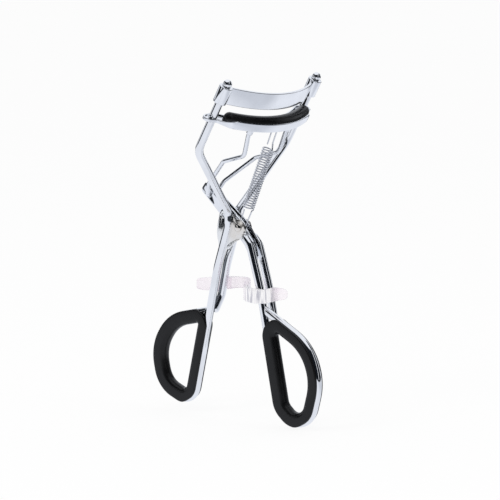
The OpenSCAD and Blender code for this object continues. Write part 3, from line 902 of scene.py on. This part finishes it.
# ------------------------------------------------------------------
# lower jaw: pressed channel with an ear round each rod
# ------------------------------------------------------------------
# outer rim height by distance from the middle plane: (|y|, height)
RIM_BY_Y = [(16.0, OUTER_RIM), (17.6, OUTER_RIM - 0.45), (19.4, 1.15), (20.0, 1.05)]
# skin from the underside, over the rim, to the channel floor:
# (inset from the outline, share of the rim height, height added)
CHANNEL_SECTIONS = [
    (0.34, 0, 0), (0.12, 0, 0.05), (0.03, 0, 0.16), (0.0, 0, 0.34), (0.0, 0.5, 0.09),
    (0.0, 1, -0.16), (0.05, 1, -0.05), (0.16, 1, 0), (WALL_THICK - 0.16, 1, 0),
    (WALL_THICK - 0.05, 1, -0.05), (WALL_THICK, 1, -0.16),
    (WALL_THICK + 0.02, 0, FLOOR_THICK + 0.22), (WALL_THICK + 0.10, 0, FLOOR_THICK + 0.07),
    (WALL_THICK + 0.26, 0, FLOOR_THICK)]


def blurred(values, passes):
    """Averages each value with its neighbours round the loop."""
    for _ in range(passes):
        values = 0.25 * np.roll(values, 1) + 0.5 * values + 0.25 * np.roll(values, -1)
    return values


def jaw_outline():
    """Evenly spaced outline about the arc centre, as arrays of out and y."""
    start = math.radians(EAR_START)
    ear_centre = ((LOWER_R - EAR_ARC_R) * math.cos(start), (LOWER_R - EAR_ARC_R) * math.sin(start))
    rod = ROD_OUT - ARC_OUT
    neck_turn = math.degrees(math.asin((NECK_Y - ear_centre[1]) / EAR_ARC_R))
    inner_turn = math.degrees(math.asin(NECK_Y / CHANNEL_IN_R))
    half = arc((0, 0), LOWER_R, 0, EAR_START, 22)
    half += arc(ear_centre, EAR_ARC_R, EAR_START, neck_turn, 12)[1:]
    half.append((rod + EAR_R, ROD_Y))
    half += arc((rod - 0.1, ROD_Y + 2.0), EAR_R - 0.35, 0, 180, 15)
    half.append((rod - EAR_R, ROD_Y + 0.1))
    half += arc((0, 0), CHANNEL_IN_R, inner_turn, 0, 30)
    mirrored = [(out, -y) for out, y in half[::-1]][1:-1]

    closed = np.array(half + mirrored + half[:1])
    steps = np.linalg.norm(np.diff(closed, axis=0), axis=1)
    lengths = np.concatenate([[0.0], np.cumsum(steps)])
    stations = np.linspace(0, lengths[-1], 420, endpoint=False)
    # a light blur rolls the corners
    return [blurred(np.interp(stations, lengths, closed[:, axis]), 5) for axis in (0, 1)]


def inset_outline(outs, ys, distance):
    """Outline moved inwards; it runs anticlockwise, so inwards is to the left."""
    along_out = np.roll(outs, -1) - np.roll(outs, 1)
    along_y = np.roll(ys, -1) - np.roll(ys, 1)
    length = np.hypot(along_out, along_y)
    return outs - distance * along_y / length, ys + distance * along_out / length


def rim_height(out, y):
    """Lower on the inner side of the channel than on the outer."""
    outer = float(np.interp(abs(y), *zip(*RIM_BY_Y)))
    inner = min(INNER_RIM, outer)
    outwards = (math.hypot(out, y) - (CHANNEL_MID_R - 1.6)) / 1.4
    return lerp(inner, outer, smoothstep(outwards))


def fill_faces(outs, ys, base, flip):
    """Triangles that fill one outline whose first vertex has index base."""
    bm = bmesh.new()
    verts = [bm.verts.new((float(out), float(y), 0)) for out, y in zip(outs, ys)]
    for k in range(len(verts)):
        bm.edges.new((verts[k], verts[(k + 1) % len(verts)]))
    bm.verts.index_update()
    bmesh.ops.triangle_fill(bm, use_beauty=True, use_dissolve=False, edges=bm.edges[:])
    faces = []
    for face in bm.faces:
        indices = [base + vert.index for vert in face.verts]
        faces.append(tuple(indices[::-1] if flip else indices))
    bm.free()
    return faces


def lower_jaw():
    outs, ys = jaw_outline()
    count = len(outs)
    rims = blurred(np.array([rim_height(out, y) for out, y in zip(outs, ys)]), 3)
    loops = [inset_outline(outs, ys, inset) for inset, _, _ in CHANNEL_SECTIONS]
    verts = []
    for (loop_outs, loop_ys), (_, share, added) in zip(loops, CHANNEL_SECTIONS):
        verts += [head_point(ARC_OUT + out, y, LOWER_BASE + (share * rim + added))
                  for out, y, rim in zip(loop_outs, loop_ys, rims)]
    faces = quads(len(loops), count)
    faces += fill_faces(*loops[0], base=0, flip=True)
    faces += fill_faces(*loops[-1], base=(len(loops) - 1) * count, flip=False)
    jaw = new_mesh("lower_jaw_vis", verts, faces)
    for side in (-1, 1):
        drill(jaw, head_point(ROD_OUT, side * ROD_Y, LOWER_BASE - 1),
              head_point(ROD_OUT, side * ROD_Y, LOWER_BASE + 5), WIRE_R + 0.08)
        spring_hole = SPRING_OUT + side * BAIL_R
        drill(jaw, head_point(spring_hole, 0, LOWER_BASE - 1),
              head_point(spring_hole, 0, LOWER_BASE + 3), 0.42, 32)
    smooth_by_angle(jaw, 50)
    dress(jaw, CHROME_CHANNEL, "lower_jaw", "chrome", "lower_jaw")


def jaw_pad():
    """Domed rubber strip with rounded ends."""
    end_angle = PAD_HALF / PAD_R
    flank = PAD_RISE - PAD_HALF
    # stations along the strip: (angle, share of the full width)
    start = [(-PAD_ANGLE + end_angle * (1 - math.cos(k / 16 * math.pi / 2)),
              math.sin(k / 16 * math.pi / 2)) for k in range(16)]
    middle = [(-PAD_ANGLE + end_angle + (2 * PAD_ANGLE - 2 * end_angle) * k / 100, 1.0)
              for k in range(101)]
    end = [(-turn, share) for turn, share in start[::-1]]
    rings = []
    for turn, share in start + middle + end:
        half = PAD_HALF * max(share, 0.02)
        section = [(-half * 0.93, 0.0), (-half, 0.12), (-half, flank * 0.5)]
        for j in range(21):
            dome = math.pi - math.pi * j / 20
            rise = half * math.sin(dome) * (0.985 + 0.015 * math.cos(2 * dome))
            section.append((half * math.cos(dome), flank + rise))
        section += [(half, flank * 0.5), (half, 0.12), (half * 0.93, 0.0)]
        rings.append([head_point(ARC_OUT + (PAD_R + across) * math.cos(turn),
                                 (PAD_R + across) * math.sin(turn), PAD_BASE + height)
                      for across, height in section])
    pad = loft("jaw_pad_vis", rings)
    # groove across the underside over the spring's top
    drill(pad, head_point(SPRING_OUT - 1.6, 0, PAD_BASE - 0.4),
          head_point(SPRING_OUT + 1.6, 0, PAD_BASE - 0.4), 1.2, 32)
    smooth_by_angle(pad, 50)
    dress(pad, PAD_RUBBER, "lower_jaw", "pad_rubber", "jaw_pad")


# ------------------------------------------------------------------
# link wires, each with a collar under the lower jaw
# ------------------------------------------------------------------
COLLAR_PROFILE = [           # (radius, height)
    (LINK_R - 0.02, 0.0), (LINK_R + 0.08, 0.0), (0.86, 0.10), (0.95, 0.34), (0.98, 0.7),
    (1.0, 1.3), (1.06, 1.75), (1.12, 1.95), (1.15, 2.08), (1.15, 2.2), (LINK_R - 0.02, 2.2)]


def links():
    for tag, side in SIDES:
        points = [head_point(LINK_OUT, side * LINK_Y, LOWER_BASE + FLOOR_THICK - 0.03),
                  head_point(LINK_OUT, side * LINK_Y, LOWER_BASE - 2.5),
                  head_point(-4.35, side * 7.9, 23.0),
                  np.array([-0.8, side * 7.2, 20.0]),
                  np.array([-9.7, side * 3.4, 12.7]),
                  side_point(HOOK, side * 1.97),
                  side_point(HOOK, side * 0.35)]
        path = densify(rounded_path(points, [0, 3, 2.2, 2.2, 3, 0.85, 0], 5), 0.8)
        link = wire("link_wire_%s_vis" % tag, path, LINK_R, sides=24)
        dress(link, CHROME_LINK, "lower_jaw", "chrome", "link_wire_" + tag)
        collar = lathe("link_collar_" + tag,
                       head_point(LINK_OUT, side * LINK_Y, LOWER_BASE - 2.22),
                       head_point(0, 0, 1), COLLAR_PROFILE)
        smooth_by_angle(collar, 45)
        # one CAD node holds both collars
        replaced = ["link_collars"] if tag == "near" else []
        dress(collar, CHROME_LINK, "lower_jaw", "chrome", *replaced)


# ------------------------------------------------------------------
# return spring, from the pivot pin to the lower jaw
# ------------------------------------------------------------------
SPRING_WIRE_R, COIL_R = 0.21, 1.59
COIL_START, COIL_END = 6.3, 26.0           # distances from the pivot
TURNS, TURN_STEPS = 25, 26
SPRING_HOOK_R = RIVET_R + SPRING_WIRE_R + 0.06


def spring_path(length):
    """Centre line as (across, y, along) points."""
    hook_r = SPRING_HOOK_R
    bail_base = length - BAIL_R
    # tail, then the hook round the pin, then up into the coil
    points = [(-COIL_R * 0.72 * (1 - t) - hook_r * t, 0, 5.2 * (1 - t) + 0.15 * t)
              for t in np.linspace(0, 1, 8)]
    points += [(-across, 0, -along) for across, along in arc((0, 0), hook_r, 8, 176, 21)]
    points += [(lerp(hook_r, COIL_R * 0.96, t), 0, lerp(0.15, COIL_START - 0.7, t))
               for t in np.linspace(0, 1, 9)]
    for i in range(TURNS * TURN_STEPS + 1):
        turn = 2 * math.pi * i / TURN_STEPS
        along = COIL_START + (COIL_END - COIL_START) * i / (TURNS * TURN_STEPS)
        points.append((COIL_R * math.cos(turn), COIL_R * math.sin(turn), along))
    # out of the coil, up to the bail, over it and back down
    points += [(COIL_R * (1 - t) * 0.7 + BAIL_R * t + 0.15 * (1 - t), 0,
                lerp(COIL_END + 0.75, COIL_END + 2.2, t)) for t in np.linspace(0, 1, 6)]
    points += [(BAIL_R, 0, lerp(COIL_END + 2.2, bail_base, t)) for t in (0.34, 0.67, 1)]
    points += [(across, 0, along)
               for across, along in arc((0, bail_base), BAIL_R, 10, 170, 16)]
    points += [(-BAIL_R, 0, lerp(bail_base, COIL_END + 1.1, t)) for t in np.linspace(0, 1, 8)]
    return points


def return_spring():
    top = head_point(SPRING_OUT, 0, LOWER_BASE + FLOOR_THICK + 0.25)
    length = float(np.linalg.norm(top))
    axis = top / length
    sideways = unit(np.cross([0, 1, 0], axis))
    points = [sideways * across + np.array([0, y, 0]) + axis * along
              for across, y, along in spring_path(length)]
    path = [points[0]]
    for point in points[1:]:
        if np.linalg.norm(point - path[-1]) > 0.02:
            path.append(point)
    spring = wire("return_spring_vis", path, SPRING_WIRE_R, sides=10,
                  round_start=True, round_end=True)
    dress(spring, SPRING_STEEL, None, "spring_steel", "return_spring")
    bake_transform(spring)


# ------------------------------------------------------------------
# clear clip across the handles
# ------------------------------------------------------------------
CLIP_Z = -17.9
CLIP_HALF = 0.7              # half the strip's thickness
CLIP_EDGE_R = 0.32
# side outline: (x, z from CLIP_Z)
CLIP_TOP = [
    (-19.9, 0.1), (-19.2, 0.7), (-17, 1.05), (-12, 1.6), (-8, 2.1), (-1, 2.6), (2.4, 2.2),
    (5, 1.2), (8, 1.0), (13, 1.1), (16, 2.1), (18.6, 2.0), (19.9, 1.5), (20.3, 0.9)]
CLIP_BOTTOM = [
    (-19.9, -1.7), (-19.4, -2.4), (-17.5, -2.8), (-12, -2.6), (-8, -1.4), (-3, -0.8), (1, -1.1),
    (4, -2.6), (6, -3.1), (9, -3.3), (13, -3.0), (17.2, -1.8), (19.8, -1.1), (20.3, -0.5)]
# plan of the strip's middle: (x, y, corner radius)
CLIP_PLAN = [
    (-19.0, 2.6, 0), (-16.5, 4.1, 2.5), (-12.5, 4.35, 6), (-6.2, 4.35, 6), (-2.2, 4.1, 3),
    (0.6, 2.4, 2.2), (3.7, -2.5, 2.2), (5.0, -4.1, 1.6), (7.4, -4.75, 3), (13, -4.75, 5),
    (17.0, -4.7, 4), (19.7, -3.8, 0)]
LIP_ROOT_Y = 4.3
CLIP_LIPS = [(-11.5, 1.0), (-6.35, 1.6)]   # (x, y of the free end)


def ribbon(name, path):
    """Upright strip along a plan path; its height follows the clip's side outline."""
    count = len(path)
    tangents = [unit(path[min(i + 1, count - 1)] - path[max(i - 1, 0)]) for i in range(count)]

    def section(point, tangent, half, shrink):
        x = float(point[0])
        high = CLIP_Z + float(np.interp(x, *zip(*CLIP_TOP)))
        low = CLIP_Z + float(np.interp(x, *zip(*CLIP_BOTTOM)))
        middle, half_height = (low + high) / 2, (high - low) / 2 * shrink
        across = np.array([-tangent[1], tangent[0], 0.0])
        radius = min(CLIP_EDGE_R, half * 0.49, half_height * 0.49)
        rect = rounded_rect(-half, half, middle - half_height, middle + half_height, radius, 4)
        return [point + across * offset + np.array([0, 0, z]) for offset, z in rect]

    def end_section(i, sign, k):
        turn = math.pi / 2 * (k / 7)
        return section(path[i] + sign * tangents[i] * CLIP_HALF * math.cos(turn), tangents[i],
                       max(0.02, CLIP_HALF * math.sin(turn)), 0.86 + 0.14 * math.sin(turn))

    rings = [end_section(0, -1, k) for k in range(1, 7)]
    rings += [section(point, tangent, CLIP_HALF, 1.0) for point, tangent in zip(path, tangents)]
    rings += [end_section(-1, 1, k) for k in range(6, 0, -1)]
    return loft(name, rings)


def handle_clip():
    """Strip that passes from the far side to the near side, with two lips on its far part."""
    points = [np.array([x, y, 0.0]) for x, y, _ in CLIP_PLAN]
    radii = [radius for _, _, radius in CLIP_PLAN]
    clip = ribbon("handle_clip_vis", densify(rounded_path(points, radii, 6), 0.6))
    for x, end_y in CLIP_LIPS:
        lip = ribbon("clip_lip", [np.array([x, LIP_ROOT_Y + (end_y - LIP_ROOT_Y) * j / 8, 0.0])
                                  for j in range(9)])
        combine(clip, lip, "UNION")
    smooth_by_angle(clip, 45)
    dress(clip, CLIP_PLASTIC, "frame", "clip_plastic", "handle_clip")


# ------------------------------------------------------------------
# floor, world, lights and camera, in metres
# ------------------------------------------------------------------
WHITE = (1, 1, 1)


def floor_material():
    material = bpy.data.materials.new("pale_floor")
    shader = Shader(material)
    # what the camera sees: near-white paper that takes a faint shadow
    mottle = shader.node("TexNoise", {"Scale": 9.0, "Vector": shader.coords["Object"]})
    paper = shader.mix(mottle.outputs["Fac"], (0.96, 0.96, 0.965), (1.0, 1.0, 1.0))
    diffuse = shader.node("BsdfDiffuse", {"Color": paper}).outputs["BSDF"]
    glow = shader.node("Emission", {"Strength": 1.012}).outputs["Emission"]
    seen = shader.mix_shader(0.86, diffuse, glow)
    # what the metal mirrors: an elliptical sheet that ends a little way off
    turned = shader.turned(shader.coords["Object"])
    x, y = turned["X"], turned["Y"]
    across_x = shader.math("DIVIDE", shader.math("ADD", x, 0.10), 0.50)
    across_y = shader.math("DIVIDE", shader.math("ADD", y, 0.28), 0.58)
    radius = shader.math("SQRT", shader.math("ADD", shader.math("MULTIPLY", across_x, across_x),
                                             shader.math("MULTIPLY", across_y, across_y)))
    away = shader.rise(radius, 0.92, 1.10)
    shade = shader.math("MULTIPLY", shader.rise(y, 0.02, 0.09), shader.rise(x, -0.05, 0.01))
    sheet = shader.mix(shade, (0.82, 0.85, 0.92), (0.62, 0.65, 0.72))
    mirrored = shader.node("Emission", {"Color": shader.mix(away, sheet, (0.035, 0.04, 0.048))})
    glossy = shader.node("LightPath").outputs["Is Glossy Ray"]
    shader.finish(shader.mix_shader(glossy, seen, mirrored.outputs["Emission"]))
    return material


def build_floor():
    half, z = 6.0, cad_lo[2] - 0.0006
    mesh = bpy.data.meshes.new("floor")
    mesh.from_pydata([(-half, -half, z), (half, -half, z), (half, half, z), (-half, half, z)],
                     [], [(0, 1, 2, 3)])
    floor = link_object("floor", mesh)
    mesh.materials.append(floor_material())


def build_world():
    """White to the camera, even light on the object, and a studio for mirror reflections."""
    world = bpy.data.worlds.new("studio")
    bpy.context.scene.world = world
    shader = Shader(world, "OutputWorld")
    turned = shader.turned(shader.coords["Generated"])
    x, y, z = turned["X"], turned["Y"], turned["Z"]
    sideways = shader.math("ABSOLUTE", y)
    # dark room on the camera's side below an overhead softbox, with two bright strips
    front = shader.rise(x, -0.45, -0.25)
    low = shader.inverse(shader.rise(z, 0.74, 0.80))
    dark = shader.math("MULTIPLY", front, low)
    right_strip = shader.between(y, 0.60, 0.63, 0.72, 0.75)
    left_strip = shader.between(y, -0.97, -0.95, -0.88, -0.86)
    strips = shader.math("MULTIPLY", shader.math("MAXIMUM", right_strip, left_strip),
                         shader.rise(x, 0.0, 0.04))
    dark = shader.math("MULTIPLY", dark, shader.inverse(strips))
    # the wall away from the camera is bright, with one dark upright at each side
    uprights = shader.between(sideways, 0.55, 0.60, 0.74, 0.78)
    rear = shader.math("MULTIPLY", shader.math("MULTIPLY", uprights, low),
                       shader.inverse(shader.rise(x, -0.30, -0.20)))
    dark = shader.math("MAXIMUM", dark, rear)
    studio = shader.mix(dark, (0.86, 0.89, 0.95), (0.008, 0.010, 0.014))

    def background(**inputs):
        return shader.node("Background", inputs).outputs["Background"]

    rays = shader.node("LightPath").outputs
    mirrored = background(Color=studio)
    lighting = background(Color=WHITE, Strength=0.75)
    seen = background(Color=WHITE)
    unseen = shader.mix_shader(rays["Is Glossy Ray"], lighting, mirrored)
    shader.finish(shader.mix_shader(rays["Is Camera Ray"], unseen, seen))


def area_light(name, location, width, height, power):
    """Rectangular light aimed at the object and hidden from reflections."""
    target = (0, 0, -0.01)
    data = bpy.data.lights.new(name, "AREA")
    data.shape = "RECTANGLE"
    data.size, data.size_y = width, height
    data.energy = power
    data.color = WHITE
    light = link_object(name, data)
    light.location = location
    aim = Vector(target) - Vector(location)
    light.rotation_euler = aim.to_track_quat("-Z", "Y").to_euler()
    light.visible_glossy = False


def build_camera():
    turn = math.radians(AZIMUTH)
    right = Vector((math.cos(turn), math.sin(turn), 0))
    back = Vector((math.sin(turn) * math.cos(ELEVATION), -math.cos(turn) * math.cos(ELEVATION),
                   math.sin(ELEVATION)))
    data = bpy.data.cameras.new("cam")
    data.sensor_width = 36.0
    data.lens = 195.84
    data.clip_start = 0.01
    data.clip_end = 50
    camera = link_object("cam", data)
    rotation = Matrix((right, back.cross(right), back)).transposed().to_4x4()
    camera.matrix_world = Matrix.Translation(Vector((0.5125, -0.6070, 0.0988))) @ rotation
    bpy.context.scene.camera = camera


frame_wires()
rod_heads()
upper_jaw()
bracket()
rivet()
link_plates()
lever_wires()
liners()
lower_jaw()
jaw_pad()
links()
return_spring()
handle_clip()

build_floor()
build_world()
area_light("key_left", (-0.15, -0.75, 0.55), width=0.35, height=0.5, power=1.6)
area_light("fill_right", (0.80, 0.15, 0.30), width=0.30, height=0.5, power=0.8)
build_camera()
bpy.context.scene.view_settings.view_transform = "Standard"
